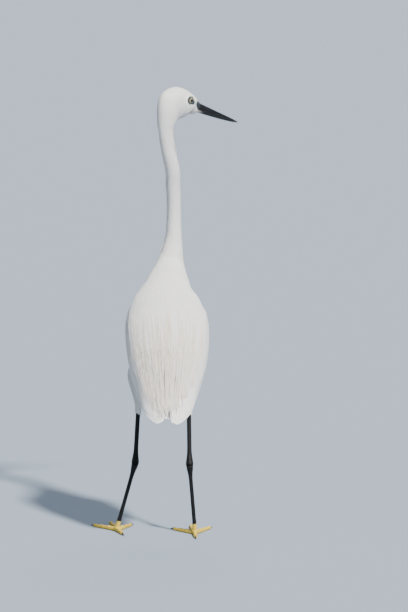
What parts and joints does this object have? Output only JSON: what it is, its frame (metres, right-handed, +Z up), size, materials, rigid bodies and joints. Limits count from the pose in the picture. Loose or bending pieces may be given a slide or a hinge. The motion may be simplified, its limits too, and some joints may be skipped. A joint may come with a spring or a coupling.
{
  "type": "little egret model",
  "caption": "Life-size still model of a little egret standing erect, neck stretched up, head turned to its right.",
  "frame": {"origin": "middle of the model's bounding box at floor level, under the feet", "axes": "+Z up, the bird faces -Y, and +X is the bird's left"},
  "size_m": [0.2086, 0.2286, 0.6248],
  "materials": {
    "plumage": "matt white feathers",
    "bill": "black horn, satin",
    "leg": "black scaly skin",
    "foot": "yellow scaly skin",
    "claw": "dark horn",
    "eye": "wet pale yellow iris and black pupil"
  },
  "bodies": {
    "root": {"bill_lower": "bill", "bill_upper": "bill", "claw_left_hind": "claw", "claw_left_inner": "claw", "claw_left_middle": "claw", "claw_left_outer": "claw", "claw_right_hind": "claw", "claw_right_inner": "claw", "claw_right_middle": "claw", "claw_right_outer": "claw", "eye_left": "eye", "eye_right": "eye", "foot_left": "foot", "foot_right": "foot", "head": "plumage", "mantle_plumes": "plumage", "neck_lower": "plumage", "neck_middle": "plumage", "neck_upper": "plumage", "shank_left": "leg", "shank_right": "leg", "tail": "plumage", "tarsus_left": "leg", "tarsus_right": "leg", "thigh_left": "plumage", "thigh_right": "plumage", "torso": "plumage", "wing_left": "plumage", "wing_right": "plumage"}
  },
  "joints": []
}
